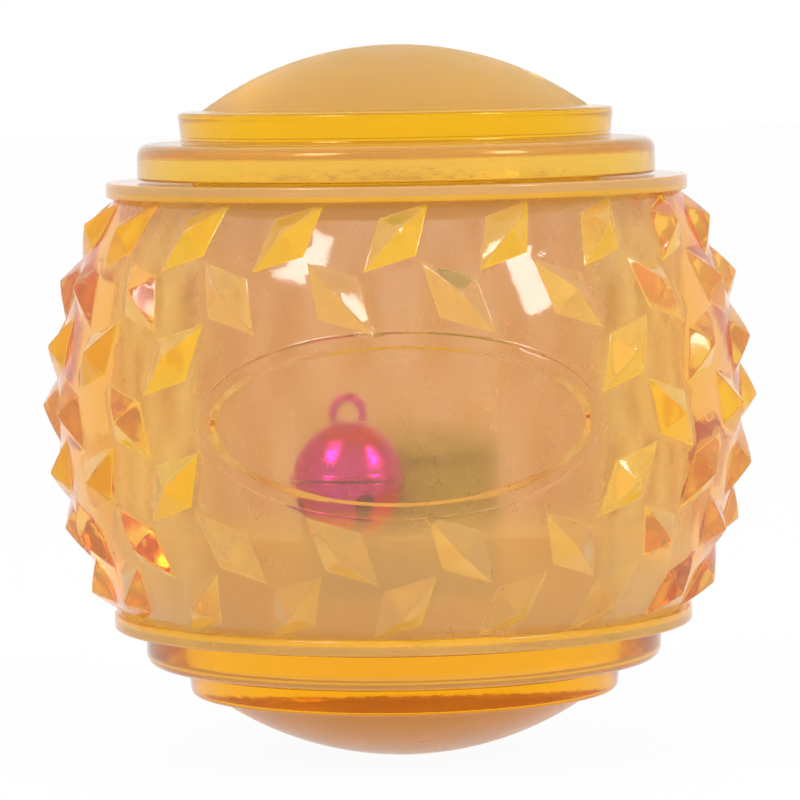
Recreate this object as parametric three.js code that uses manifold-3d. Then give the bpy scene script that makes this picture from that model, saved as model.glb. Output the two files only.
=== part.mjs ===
// A light-up dog ball: a clear orange rubber hull of three pieces round a sealed chamber,
// with a flashing light module socketed in its floor and a jingle bell loose beside it.
// Millimetres, +Z up. The ball stands on its foot flat, with the origin in the middle of that flat.
// The badge faces -Y.

import * as THREE from 'three';
import { mergeVertices } from 'three/addons/utils/BufferGeometryUtils.js';
import Module from 'manifold-3d';

// Clearances
const FIT_GAP = 0.3; // round a plug in its bore
const REST_GAP = 0.2; // under a piece that sits on another
const BELL_PLAY = 0.3; // each side of the bell on its track

// Light module, from the cells outward
const CELL_RADIUS = 6.25;
const CELL_HEIGHT = 2;
const CELL_RIM = 0.35;
const CONTACT_THICKNESS = 0.3;
const CONTACT_WIDTH = 3;
const CONTACT_LENGTH = 8;
const LEAF_RISE = 0.4;
const RISER_REACH = 0.6; // from the cell pocket's wall to the riser's inner face
const CUP_FLOOR = 1;
const CUP_WALL = 1;
const BOARD_LEDGE = 1.95;
const BOARD_THICKNESS = 0.8;
const COMPONENT_ROOM = 3.4;
const LID_THICKNESS = 1.2;
const SKIRT_WALL = 0.7;

// On the circuit board
const COMPONENT_CIRCLE = 4.6;
const LED_RADIUS = 1.5;
const LED_FLANGE = 0.35;
const LED_FLANGE_HEIGHT = 0.8;
const LED_BODY_HEIGHT = 2.1;
const CHIP_RADIUS = 1.7;
const CHIP_HEIGHT = 0.9;
const RESISTOR_LENGTH = 2;
const RESISTOR_WIDTH = 1.25;
const RESISTOR_HEIGHT = 0.6;
const SPRING_RADIUS = 1.1;
const SPRING_WIRE = 0.3;
const SPRING_TURNS = 3;
const PIN_RADIUS = 0.35;

// Jingle bell
const BELL_RADIUS = 4.75;
const BELL_WALL = 0.45;
const SEAM_RIM = 0.25;
const SEAM_HEIGHT = 0.35;
const SLOT_WIDTH = 1.1;
const SLOT_EYE_RADIUS = 0.85;
const SLOT_DROP = 1.9; // from the seam to the eyes at the slots' ends
const LOOP_RADIUS = 1.25;
const LOOP_WIRE = 0.7;
const LOOP_LEG = 0.6;
const PELLET_RADIUS = 1.4;
const BELL_BEARING = -18; // degrees from the front towards +X
const SLOT_BEARING = 20;

// Hull
const BELT_WALL = 13.4;
const BELT_ARC_RADIUS = 38;
const BELT_HALF_HEIGHT = 21.8;
const LIP_HEIGHT = 1.5;
const LIP_STEP = 0.8;
const CHAMBER_DEPTH = 10.4; // from the ball's middle down to the chamber's floor
const SPIGOT_DEPTH = 5; // of the upper cap's plug in the belt
const SOCKET_DEPTH = 5.2;
const SHOULDER_STEP = 3.1;
const FLANGE_HEIGHT = 3.5;
const FLANGE_ROUND = 1.4;
const RING_STEP = 4;
const RING_HEIGHT = 3;
const DOME_STEP = 2.3;
const DOME_RISE = 6.3;
const FOOT_RADIUS = 4;

// Studs and badge on the belt
const STUD_ROWS_EACH_SIDE = 3;
const STUDS_PER_ROW = 18;
const ROW_PITCH = 5.95;
const STUD_LENGTH = 9.5;
const STUD_WIDTH = 5.2;
const STUD_HEIGHT = 1.5;
const STUD_TILT = 45;
const STUD_ROOT = 0.6; // how far a stud's base lies under the barrel
const BADGE_LENGTH = 37.6;
const BADGE_WIDTH = 15.8;
const BADGE_RIM_WIDTH = 1.6;
const BADGE_RIM_RISE = 0.4;

// Facets
const HULL_SIDES = 36;
const ROUND_SIDES = 24;
const SMALL_SIDES = 14;
const BARREL_STEPS = 10;
const DOME_STEPS = 6;
const BELL_STEPS = 5;

// Sizes that follow from those
const pocketRadius = CELL_RADIUS + FIT_GAP;
const boardBore = pocketRadius + BOARD_LEDGE;
const boardRadius = boardBore - FIT_GAP;
const moduleRadius = boardBore + CUP_WALL;
const lowerContactTop = CUP_FLOOR + REST_GAP + CONTACT_THICKNESS;
const lowerCellBase = lowerContactTop + REST_GAP;
const upperCellBase = lowerCellBase + CELL_HEIGHT + REST_GAP;
const upperContactBase = upperCellBase + CELL_HEIGHT + REST_GAP;
const boardBase = upperContactBase + LEAF_RISE + CONTACT_THICKNESS + REST_GAP;
const ledgeTop = boardBase - REST_GAP;
const boardTop = boardBase + BOARD_THICKNESS;
const lidBase = boardTop + COMPONENT_ROOM;
const cupTop = lidBase - REST_GAP;
const componentBase = boardTop + REST_GAP;

const bellReach = BELL_RADIUS + SEAM_RIM;
const boreRadius = moduleRadius + 2 * (bellReach + BELL_PLAY);
const trackRadius = moduleRadius + BELL_PLAY + bellReach;
const beltRadius = boreRadius + BELT_WALL;
const arcCentre = beltRadius - BELT_ARC_RADIUS;
const lipBase = BELT_HALF_HEIGHT - LIP_HEIGHT;
const lipRadius = arcCentre + Math.sqrt(BELT_ARC_RADIUS ** 2 - lipBase ** 2) + LIP_STEP;
const spigotRadius = boreRadius - FIT_GAP;
const flangeRadius = lipRadius - SHOULDER_STEP;
const ringRadius = flangeRadius - RING_STEP;
const domeEdge = ringRadius - DOME_STEP;
const seatHeight = BELT_HALF_HEIGHT + REST_GAP;
const flangeTop = seatHeight + FLANGE_HEIGHT;
const ringTop = flangeTop + RING_HEIGHT;
const domeRadius = (domeEdge ** 2 + DOME_RISE ** 2) / (2 * DOME_RISE);
const domeCentre = ringTop + DOME_RISE - domeRadius;
const footDepth = domeCentre + Math.sqrt(domeRadius ** 2 - FOOT_RADIUS ** 2);
const chamberFloor = -CHAMBER_DEPTH;
const chamberTop = seatHeight - SPIGOT_DEPTH;
const moduleBase = chamberFloor - SOCKET_DEPTH + REST_GAP;
const bellHeight = chamberFloor + REST_GAP + BELL_RADIUS;

const radians = THREE.MathUtils.degToRad;
const wasm = await Module();
wasm.setup();

// Closed solids for joining and cutting
function toSolid(geometry) {
  const bare = geometry.clone();
  bare.deleteAttribute('normal');
  bare.deleteAttribute('uv');
  const merged = mergeVertices(bare, 1e-5);
  const corners = Array.from(merged.index.array);
  const kept = [];
  for (let i = 0; i < corners.length; i += 3) {
    const [a, b, c] = corners.slice(i, i + 3);
    if (a !== b && b !== c && c !== a) kept.push(a, b, c);
  }
  return new wasm.Manifold(new wasm.Mesh({
    numProp: 3,
    vertProperties: new Float32Array(merged.attributes.position.array),
    triVerts: new Uint32Array(kept),
  }));
}

function toGeometry(solid) {
  const mesh = solid.getMesh();
  const geometry = new THREE.BufferGeometry();
  geometry.setAttribute('position', new THREE.BufferAttribute(new Float32Array(mesh.vertProperties), 3));
  geometry.setIndex(new THREE.BufferAttribute(new Uint32Array(mesh.triVerts), 1));
  geometry.computeVertexNormals();
  return geometry;
}

// Turned shapes: the profile runs [radius, height] up the outside
function turned(profile, sides) {
  const points = profile.map(([radius, height]) => new THREE.Vector2(radius, height));
  return new THREE.LatheGeometry(points, sides).rotateX(Math.PI / 2);
}

function arc(radius, centre, from, to, steps) {
  const points = [];
  for (let i = 0; i <= steps; i += 1) {
    const angle = from + ((to - from) * i) / steps;
    points.push([radius * Math.cos(angle), centre + radius * Math.sin(angle)]);
  }
  return points;
}

function mesh(name, geometry, material) {
  const made = new THREE.Mesh(geometry, material);
  made.name = name;
  return made;
}

function finish(color, roughness, metalness = 0, opacity = 1) {
  return new THREE.MeshStandardMaterial({ color, roughness, metalness, opacity, transparent: opacity < 1 });
}

const clearRubber = () => finish(0xe8a550, 0.12, 0, 0.55);
const frostedRubber = () => finish(0xf0b354, 0.3, 0, 0.7);
const greenPlastic = () => finish(0xa8a04a, 0.2, 0, 0.7);
const steel = () => finish(0xc9c7c0, 0.25, 1);
const magentaMetal = () => finish(0xd02f90, 0.22, 1);

// The barrel's surface: a point at an arc length up from the equator and a bearing from the front
function onBarrel(across, up, out) {
  const rise = up / BELT_ARC_RADIUS;
  const bearing = across / beltRadius;
  const radius = arcCentre + (BELT_ARC_RADIUS + out) * Math.cos(rise);
  const height = (BELT_ARC_RADIUS + out) * Math.sin(rise);
  return new THREE.Vector3(radius * Math.sin(bearing), -radius * Math.cos(bearing), height);
}

// A stud is a four-sided pyramid. Its ridges run out on the curved barrel at the stud's own length
// and width, so its half sizes in the plane that touches the barrel are a little less.
function stud() {
  const atTouch = (half) => half / (1 + half ** 2 / (2 * beltRadius * STUD_HEIGHT));
  const root = (STUD_LENGTH / 2) ** 2 / (2 * beltRadius) + STUD_ROOT;
  const spread = (STUD_HEIGHT + root) / STUD_HEIGHT;
  const pyramid = new THREE.ConeGeometry(1, STUD_HEIGHT + root, 4).rotateX(Math.PI / 2);
  pyramid.translate(0, 0, (STUD_HEIGHT + root) / 2 - root);
  return pyramid.scale(atTouch(STUD_LENGTH / 2) * spread, atTouch(STUD_WIDTH / 2) * spread, 1);
}

function studAt(bearing, up, tilt) {
  const rise = up / BELT_ARC_RADIUS;
  const outward = new THREE.Vector3(
    Math.sin(bearing) * Math.cos(rise), -Math.cos(bearing) * Math.cos(rise), Math.sin(rise));
  const along = new THREE.Vector3(Math.cos(bearing), Math.sin(bearing), 0);
  const upward = new THREE.Vector3().crossVectors(outward, along);
  const length = along.clone().multiplyScalar(Math.cos(tilt)).addScaledVector(upward, Math.sin(tilt));
  const width = new THREE.Vector3().crossVectors(outward, length);
  const place = new THREE.Matrix4().makeBasis(length, width, outward);
  place.setPosition(onBarrel(bearing * beltRadius, up, 0));
  return stud().applyMatrix4(place);
}

function studs() {
  const made = [];
  const pitch = (2 * Math.PI) / STUDS_PER_ROW;
  for (let row = -STUD_ROWS_EACH_SIDE; row <= STUD_ROWS_EACH_SIDE; row += 1) {
    const odd = Math.abs(row) % 2 === 1;
    for (let place = 0; place < STUDS_PER_ROW; place += 1) {
      const turn = (place + (odd ? 0 : 0.5)) * pitch;
      const bearing = turn > Math.PI ? turn - 2 * Math.PI : turn;
      const across = (bearing * beltRadius) / (BADGE_LENGTH / 2);
      const up = (row * ROW_PITCH) / (BADGE_WIDTH / 2);
      if (across ** 2 + up ** 2 < 1) continue;
      made.push(studAt(bearing, row * ROW_PITCH, radians(odd ? STUD_TILT : -STUD_TILT)));
    }
  }
  return made;
}

// The badge's rim: a ring bent to an oval on the barrel
function badgeRim() {
  const ringSize = 10;
  const rim = new THREE.TorusGeometry(ringSize, 1, 6, 56);
  const place = rim.attributes.position;
  const halfLength = BADGE_LENGTH / 2;
  const halfWidth = BADGE_WIDTH / 2;
  for (let i = 0; i < place.count; i += 1) {
    const turn = Math.atan2(place.getY(i), place.getX(i));
    const outward = (Math.hypot(place.getX(i), place.getY(i)) - ringSize) * (BADGE_RIM_WIDTH / 2);
    const normal = new THREE.Vector2(Math.cos(turn) / halfLength, Math.sin(turn) / halfWidth).normalize();
    const across = halfLength * Math.cos(turn) + normal.x * outward;
    const up = halfWidth * Math.sin(turn) + normal.y * outward;
    const point = onBarrel(across, up, place.getZ(i) * BADGE_RIM_RISE);
    place.setXYZ(i, point.x, point.y, point.z);
  }
  return rim;
}

function beltGeometry() {
  const lipAngle = Math.asin(lipBase / BELT_ARC_RADIUS);
  const barrel = arc(BELT_ARC_RADIUS, 0, -lipAngle, lipAngle, BARREL_STEPS);
  const profile = [
    [boreRadius, -BELT_HALF_HEIGHT],
    [lipRadius, -BELT_HALF_HEIGHT],
    [lipRadius, -lipBase],
    ...barrel.map(([radius, height]) => [radius + arcCentre, height]),
    [lipRadius, lipBase],
    [lipRadius, BELT_HALF_HEIGHT],
    [boreRadius, BELT_HALF_HEIGHT],
    [boreRadius, -BELT_HALF_HEIGHT],
  ];
  let belt = toSolid(turned(profile, HULL_SIDES)).add(toSolid(badgeRim()));
  for (const one of studs()) belt = belt.add(toSolid(one));
  return toGeometry(belt);
}

// The stepped outside that both caps share, from the spigot's end up to the dome's edge
function capSteps(spigotEnd) {
  const round = arc(FLANGE_ROUND, flangeTop - FLANGE_ROUND, 0, Math.PI / 2, 3);
  return [
    [spigotRadius, spigotEnd],
    [spigotRadius, seatHeight],
    [flangeRadius, seatHeight],
    ...round.map(([radius, height]) => [radius + flangeRadius - FLANGE_ROUND, height]),
    [ringRadius, flangeTop],
    [ringRadius, ringTop],
  ];
}

function domeArc(endRadius) {
  const from = Math.acos(domeEdge / domeRadius);
  const to = Math.acos(endRadius / domeRadius);
  return arc(domeRadius, domeCentre, from, to, DOME_STEPS);
}

function upperCapGeometry() {
  return turned([[0, chamberTop], ...capSteps(chamberTop), ...domeArc(0)], HULL_SIDES);
}

function lowerCapGeometry() {
  const socketRadius = moduleRadius + FIT_GAP;
  const socketFloor = -chamberFloor + SOCKET_DEPTH;
  const upright = [
    [0, socketFloor],
    [socketRadius, socketFloor],
    [socketRadius, -chamberFloor],
    ...capSteps(-chamberFloor),
    ...domeArc(FOOT_RADIUS),
    [0, footDepth],
  ];
  return turned(upright.map(([radius, height]) => [radius, -height]).reverse(), HULL_SIDES);
}

// Light module
function cupGeometry() {
  const cup = turned([
    [0, 0],
    [moduleRadius, 0],
    [moduleRadius, cupTop],
    [boardBore, cupTop],
    [boardBore, ledgeTop],
    [pocketRadius, ledgeTop],
    [pocketRadius, CUP_FLOOR],
    [0, CUP_FLOOR],
  ], ROUND_SIDES);
  const notchReach = RISER_REACH + CONTACT_THICKNESS + FIT_GAP;
  const notch = new THREE.BoxGeometry(pocketRadius + notchReach, CONTACT_WIDTH + 2 * FIT_GAP, ledgeTop);
  notch.translate((pocketRadius + notchReach) / 2, 0, CUP_FLOOR + ledgeTop / 2);
  return toGeometry(toSolid(cup).subtract(toSolid(notch)));
}

function lidGeometry() {
  const skirtRadius = boardBore - FIT_GAP;
  const skirtEnd = boardTop + REST_GAP;
  const lidTop = lidBase + LID_THICKNESS;
  const holeRadius = LED_RADIUS + FIT_GAP;
  let lid = toSolid(turned([
    [0, lidBase],
    [skirtRadius - SKIRT_WALL, lidBase],
    [skirtRadius - SKIRT_WALL, skirtEnd],
    [skirtRadius, skirtEnd],
    [skirtRadius, lidBase],
    [moduleRadius, lidBase],
    [moduleRadius, lidTop],
    [0, lidTop],
  ], ROUND_SIDES));
  for (const bearing of LED_BEARINGS) {
    const hole = new THREE.CylinderGeometry(holeRadius, holeRadius, 3 * LID_THICKNESS, SMALL_SIDES);
    hole.rotateX(Math.PI / 2).translate(...onBoard(bearing, lidBase + LID_THICKNESS / 2).toArray());
    lid = lid.subtract(toSolid(hole));
  }
  return toGeometry(lid);
}

function cellGeometry() {
  return turned([
    [0, 0],
    [CELL_RADIUS - CELL_RIM, 0],
    [CELL_RADIUS, CELL_RIM],
    [CELL_RADIUS, CELL_HEIGHT],
    [0, CELL_HEIGHT],
  ], ROUND_SIDES);
}

function strip(outline) {
  const shape = new THREE.Shape(outline.map(([x, y]) => new THREE.Vector2(x, y)));
  const made = new THREE.ExtrudeGeometry(shape, { depth: CONTACT_WIDTH, bevelEnabled: false, steps: 1 });
  return made.translate(0, 0, -CONTACT_WIDTH / 2).rotateX(Math.PI / 2);
}

// A leaf under the cells, with a riser up to the board
function lowerContactGeometry() {
  const base = CUP_FLOOR + REST_GAP;
  const riser = pocketRadius + RISER_REACH;
  const tip = boardBase - REST_GAP;
  return strip([
    [riser - CONTACT_LENGTH, base],
    [riser + CONTACT_THICKNESS, base],
    [riser + CONTACT_THICKNESS, tip],
    [riser, tip],
    [riser, lowerContactTop],
    [riser - CONTACT_LENGTH, lowerContactTop],
  ]);
}

// A bowed leaf between the upper cell and the board
function upperContactGeometry() {
  const half = CONTACT_LENGTH / 2;
  const flat = half / 2;
  const base = upperContactBase;
  const top = upperContactBase + CONTACT_THICKNESS;
  return strip([
    [-half, base + LEAF_RISE],
    [-flat, base],
    [flat, base],
    [half, base + LEAF_RISE],
    [half, top + LEAF_RISE],
    [flat, top],
    [-flat, top],
    [-half, top + LEAF_RISE],
  ]);
}

const LED_BEARINGS = [90, 210, 330];
const SPRING_BEARING = 150;
const CHIP_BEARING = 30;
const RESISTOR_BEARING = 270;

function onBoard(bearing, height) {
  const angle = radians(bearing);
  return new THREE.Vector3(COMPONENT_CIRCLE * Math.cos(angle), COMPONENT_CIRCLE * Math.sin(angle), height);
}

function ledGeometry() {
  const shoulder = LED_FLANGE_HEIGHT + LED_BODY_HEIGHT;
  return turned([
    [0, 0],
    [LED_RADIUS + LED_FLANGE, 0],
    [LED_RADIUS + LED_FLANGE, LED_FLANGE_HEIGHT],
    [LED_RADIUS, LED_FLANGE_HEIGHT],
    ...arc(LED_RADIUS, shoulder, 0, Math.PI / 2, 4),
  ], SMALL_SIDES);
}

// The shake switch: a coil that stands round a pin and touches it when the ball is knocked
class SpringPath extends THREE.Curve {
  constructor(leg, pitch) {
    super();
    this.leg = leg;
    this.pitch = pitch;
    this.curlLength = SPRING_TURNS * Math.hypot(2 * Math.PI * SPRING_RADIUS, pitch);
  }

  getPoint(share, target = new THREE.Vector3()) {
    const travelled = share * (this.leg + this.curlLength);
    if (travelled < this.leg) return target.set(SPRING_RADIUS, 0, travelled);
    const turns = ((travelled - this.leg) / this.curlLength) * SPRING_TURNS;
    const angle = 2 * Math.PI * turns;
    return target.set(
      SPRING_RADIUS * Math.cos(angle), SPRING_RADIUS * Math.sin(angle), this.leg + turns * this.pitch);
  }
}

const switchHeight = COMPONENT_ROOM - 2 * REST_GAP;

function springPath() {
  const pitch = (switchHeight - 2 * SPRING_WIRE) / SPRING_TURNS;
  return new SpringPath(SPRING_WIRE, pitch);
}

function leastSelfGap(path) {
  const count = 40 * SPRING_TURNS;
  const points = path.getSpacedPoints(count);
  const skipped = Math.round((0.6 * count) / SPRING_TURNS);
  let least = Infinity;
  for (let i = 0; i <= count; i += 1) {
    for (let j = i + skipped; j <= count; j += 1) least = Math.min(least, points[i].distanceTo(points[j]));
  }
  return least - SPRING_WIRE;
}

function roundSection(radius, sides) {
  const points = [];
  for (let i = 0; i < sides; i += 1) {
    const angle = (2 * Math.PI * i) / sides;
    points.push(new THREE.Vector2(radius * Math.cos(angle), radius * Math.sin(angle)));
  }
  return new THREE.Shape(points);
}

function springGeometry() {
  const path = springPath();
  console.log(`switch_spring: least gap to itself ${leastSelfGap(path).toFixed(2)} mm`);
  return new THREE.ExtrudeGeometry(roundSection(SPRING_WIRE / 2, 5), {
    extrudePath: path, steps: 8 * SPRING_TURNS + 1, bevelEnabled: false,
  });
}

function lightModule() {
  const group = new THREE.Group();
  group.position.z = moduleBase;
  const lowerCell = mesh('coin_cell_lower', cellGeometry(), steel());
  lowerCell.position.z = lowerCellBase;
  const upperCell = mesh('coin_cell_upper', cellGeometry(), steel());
  upperCell.position.z = upperCellBase;
  const board = mesh(
    'circuit_board',
    turned([[0, 0], [boardRadius, 0], [boardRadius, BOARD_THICKNESS], [0, BOARD_THICKNESS]], ROUND_SIDES),
    finish(0x2f6b3a, 0.5),
  );
  board.position.z = boardBase;
  group.add(
    mesh('module_cup', cupGeometry(), greenPlastic()),
    mesh('module_lid', lidGeometry(), greenPlastic()),
    mesh('lower_contact', lowerContactGeometry(), finish(0xc8a95a, 0.3, 1)),
    mesh('upper_contact', upperContactGeometry(), finish(0xc8a95a, 0.3, 1)),
    lowerCell,
    upperCell,
    board,
  );

  const ledColours = { led_red: 0xd8282a, led_green: 0x3fbf4a, led_blue: 0x3560d8 };
  Object.entries(ledColours).forEach(([name, colour], index) => {
    const led = mesh(name, ledGeometry(), finish(colour, 0.1, 0, 0.8));
    led.position.copy(onBoard(LED_BEARINGS[index], componentBase));
    group.add(led);
  });

  const chipProfile = [[0, 0], ...arc(CHIP_RADIUS, 0, 0, Math.PI / 2, 4)];
  const chipShape = turned(chipProfile, SMALL_SIDES).scale(1, 1, CHIP_HEIGHT / CHIP_RADIUS);
  const chip = mesh('flasher_chip', chipShape, finish(0x15151a, 0.35));
  chip.position.copy(onBoard(CHIP_BEARING, componentBase));
  const resistorShape = new THREE.BoxGeometry(RESISTOR_LENGTH, RESISTOR_WIDTH, RESISTOR_HEIGHT);
  const resistor = mesh('resistor', resistorShape, finish(0x2a2a30, 0.4));
  resistor.position.copy(onBoard(RESISTOR_BEARING, componentBase + RESISTOR_HEIGHT / 2));
  const pinProfile = [[0, 0], [PIN_RADIUS, 0], [PIN_RADIUS, switchHeight], [0, switchHeight]];
  const pin = mesh('switch_pin', turned(pinProfile, SMALL_SIDES), finish(0xc8a95a, 0.3, 1));
  pin.position.copy(onBoard(SPRING_BEARING, componentBase));
  const spring = mesh('switch_spring', springGeometry(), steel());
  spring.position.copy(onBoard(SPRING_BEARING, componentBase));
  group.add(chip, resistor, pin, spring);
  return group;
}

// Jingle bell: two pressed halves crimped at a seam, with crossed slots in the lower one
function bellHalf() {
  const inner = BELL_RADIUS - BELL_WALL;
  const seam = REST_GAP / 2;
  const above = (radius, height) => Math.asin(height / radius);
  return [
    ...arc(inner, 0, Math.PI / 2, above(inner, seam), BELL_STEPS),
    [bellReach, seam],
    [bellReach, SEAM_HEIGHT],
    ...arc(BELL_RADIUS, 0, above(BELL_RADIUS, SEAM_HEIGHT), Math.PI / 2, BELL_STEPS),
  ];
}

function bowlGeometry() {
  const profile = bellHalf().map(([radius, height]) => [radius, -height]).reverse();
  let bowl = toSolid(turned(profile, ROUND_SIDES));
  const reach = 3 * BELL_RADIUS;
  for (const quarter of [0, Math.PI / 2]) {
    const eyes = new THREE.CylinderGeometry(SLOT_EYE_RADIUS, SLOT_EYE_RADIUS, reach, SMALL_SIDES);
    const slot = new THREE.BoxGeometry(SLOT_WIDTH, reach, BELL_RADIUS);
    eyes.translate(0, 0, -SLOT_DROP).rotateZ(quarter);
    slot.translate(0, 0, -SLOT_DROP - BELL_RADIUS / 2).rotateZ(quarter);
    bowl = bowl.subtract(toSolid(eyes)).subtract(toSolid(slot));
  }
  return toGeometry(bowl);
}

// A wire arch whose feet stand on the crown
class LoopPath extends THREE.Curve {
  getPoint(share, target = new THREE.Vector3()) {
    const half = (Math.PI / 2) * LOOP_RADIUS + LOOP_LEG;
    const travelled = (2 * share - 1) * half;
    const bend = Math.min(Math.abs(travelled) / LOOP_RADIUS, Math.PI / 2);
    const drop = Math.max(Math.abs(travelled) - (Math.PI / 2) * LOOP_RADIUS, 0);
    return target.set(
      Math.sign(travelled) * LOOP_RADIUS * Math.sin(bend), 0, LOOP_LEG + LOOP_RADIUS * Math.cos(bend) - drop);
  }
}

function loopGeometry() {
  return new THREE.ExtrudeGeometry(roundSection(LOOP_WIRE / 2, 8), {
    extrudePath: new LoopPath(), steps: 14, bevelEnabled: false,
  });
}

function jingleBell() {
  const group = new THREE.Group();
  const bearing = radians(BELL_BEARING);
  group.position.set(trackRadius * Math.sin(bearing), -trackRadius * Math.cos(bearing), bellHeight);
  const bowl = mesh('bell_bowl', bowlGeometry(), magentaMetal());
  bowl.rotation.z = radians(SLOT_BEARING);
  const loop = mesh('bell_loop', loopGeometry(), magentaMetal());
  const footReach = LOOP_RADIUS - LOOP_WIRE / 2;
  loop.position.z = Math.sqrt(BELL_RADIUS ** 2 - footReach ** 2) + REST_GAP / 2;
  const pellet = mesh('bell_pellet', new THREE.SphereGeometry(PELLET_RADIUS, SMALL_SIDES, 9), steel());
  pellet.position.z = -(BELL_RADIUS - BELL_WALL - PELLET_RADIUS - FIT_GAP);
  group.add(mesh('bell_crown', turned(bellHalf(), ROUND_SIDES), magentaMetal()), bowl, loop, pellet);
  return group;
}

// The whole ball, built round its centre and stood on its foot
const ball = new THREE.Group();
ball.position.z = footDepth;
ball.add(
  mesh('studded_belt', beltGeometry(), clearRubber()),
  mesh('upper_cap', upperCapGeometry(), frostedRubber()),
  mesh('lower_cap', lowerCapGeometry(), frostedRubber()),
  lightModule(),
  jingleBell(),
);
const lightUpBall = new THREE.Group();
lightUpBall.add(ball);

export default lightUpBall;
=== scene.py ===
import math

import bmesh
import bpy
from mathutils import Matrix, Vector
from mathutils.geometry import delaunay_2d_cdt


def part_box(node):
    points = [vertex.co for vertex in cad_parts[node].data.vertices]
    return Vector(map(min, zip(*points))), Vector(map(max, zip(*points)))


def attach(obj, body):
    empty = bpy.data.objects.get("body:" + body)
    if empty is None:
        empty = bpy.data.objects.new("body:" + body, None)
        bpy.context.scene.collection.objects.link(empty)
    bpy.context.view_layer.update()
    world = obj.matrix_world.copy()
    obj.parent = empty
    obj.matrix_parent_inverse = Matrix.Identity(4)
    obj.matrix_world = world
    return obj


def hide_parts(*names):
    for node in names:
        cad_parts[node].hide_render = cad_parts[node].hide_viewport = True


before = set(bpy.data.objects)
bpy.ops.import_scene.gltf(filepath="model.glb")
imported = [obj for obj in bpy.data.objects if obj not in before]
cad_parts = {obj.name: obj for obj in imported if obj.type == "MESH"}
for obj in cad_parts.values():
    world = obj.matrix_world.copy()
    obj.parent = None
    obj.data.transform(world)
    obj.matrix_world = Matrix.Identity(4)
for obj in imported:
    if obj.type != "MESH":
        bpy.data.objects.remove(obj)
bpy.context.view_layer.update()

MM = 0.001
TINY = 1e-6


def middle(node):
    low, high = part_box(node)
    return (Vector(low) + Vector(high)) / 2 / MM


def extent(node):
    low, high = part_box(node)
    return (Vector(high) - Vector(low)) / MM


# The belt: a barrel with a straight bore and a lip at each end
CENTRE = middle("studded_belt").z
BELT_HALF_HEIGHT = extent("studded_belt").z / 2
BELT_RADIUS = 33.5
BELT_ARC_RADIUS = 38.0
ARC_CENTRE = BELT_RADIUS - BELT_ARC_RADIUS
BORE_RADIUS = 20.1
LIP_HEIGHT = 1.5
LIP_RADIUS = 28.42
LIP_EDGE_HEIGHT = 0.6
LIP_ROUND = 0.3
FADE_START = 7.5
FADE_STEPS = 8

# The caps, from the spigot in the bore out to the dome
SPIGOT_RADIUS = 19.8
SPIGOT_ROUND = 0.3
SEAT_HEIGHT = 22.0
SEAT_ROUND = 0.2
FLANGE_RADIUS = 25.32
FLANGE_TOP = 25.5
FLANGE_FOOT_ROUND = 0.3
FLANGE_ROUND = 1.4
RING_RADIUS = 21.32
RING_TOP = 28.5
RING_FLARE = 0.35
RING_FOOT_ROUND = 0.7
RING_ROUND = 0.55
DOME_EDGE = 19.02
DOME_EDGE_ROUND = 0.25
DOME_RADIUS = 31.87
DOME_TOP = 34.8
FOOT_RADIUS = 4.0
CHAMBER_TOP = 17.0
CHAMBER_DEPTH = 10.4
SOCKET_RADIUS = 9.8
SOCKET_DEPTH = 5.2
SOCKET_FLOOR_ROUND = 0.2
SOCKET_MOUTH_ROUND = 0.3

# Studs and badge
STUD_ROWS_EACH_SIDE = 3
STUDS_PER_ROW = 18
ROW_PITCH = 5.95
STUD_LENGTH = 9.5
STUD_WIDTH = 5.2
STUD_HEIGHT = 1.5
STUD_TILT = math.radians(45)
PALE_ROWS = (-3, -2, 2)
BADGE_LENGTH = 37.6
BADGE_WIDTH = 15.8
BADGE_RIM_WIDTH = 1.6
BADGE_RIM_RISE = 0.4
BADGE_RIM_SLOPE = 0.28

# How finely round things are drawn
HULL_SIDES = 240
ROUND_SIDES = 96
SMALL_SIDES = 40
CORNER_STEPS = 5
DOME_STEPS = 28
BALL_STEPS = 24
LENS_STEPS = 14
BLOB_STEPS = 12
COIL_STEPS = 24
LOOP_STEPS = 24

# Edges steeper than these stay sharp
CUT_SHARP = math.radians(35)
CAP_SHARP = math.radians(40)
BELT_SHARP = math.radians(60)

# Points of the rubber that are closer than this, in metres, become one
JOIN_DISTANCE = 2e-6


def place(x, y, z):
    return Vector((x * MM, y * MM, (z + CENTRE) * MM))


# Making pieces

def piece_from(work, name, body, node, material):
    """Turns a bmesh into a smooth piece that rides on a body and stands for a CAD node."""
    bmesh.ops.recalc_face_normals(work, faces=work.faces)
    for face in work.faces:
        face.smooth = True
    mesh = bpy.data.meshes.new(name)
    work.to_mesh(mesh)
    work.free()
    mesh.materials.append(material)
    piece = bpy.data.objects.new(name, mesh)
    bpy.context.scene.collection.objects.link(piece)
    settle(piece, body, node)
    return piece


def settle(piece, body, node):
    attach(piece, body)
    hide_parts(node)


def softened(corners):
    """Rounds each (radius, height, round) corner of an outline that has a round above nought."""
    points = []
    last = len(corners) - 1
    for index, (radius, height, rounding) in enumerate(corners):
        corner = Vector((radius, height))
        if rounding == 0 or index in (0, last):
            points.append((radius, height))
            continue
        before = Vector(corners[index - 1][:2]) - corner
        after = Vector(corners[index + 1][:2]) - corner
        start = corner + before.normalized() * min(rounding, before.length / 2)
        end = corner + after.normalized() * min(rounding, after.length / 2)
        for step in range(CORNER_STEPS + 1):
            share = step / CORNER_STEPS
            point = start * (1 - share) ** 2 + corner * 2 * share * (1 - share) + end * share ** 2
            points.append(tuple(point))
    return points


def arc(radius, centre, start, end, steps):
    points = []
    for step in range(steps + 1):
        angle = start + (end - start) * step / steps
        points.append((radius * math.cos(angle), centre + radius * math.sin(angle)))
    return points


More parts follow.
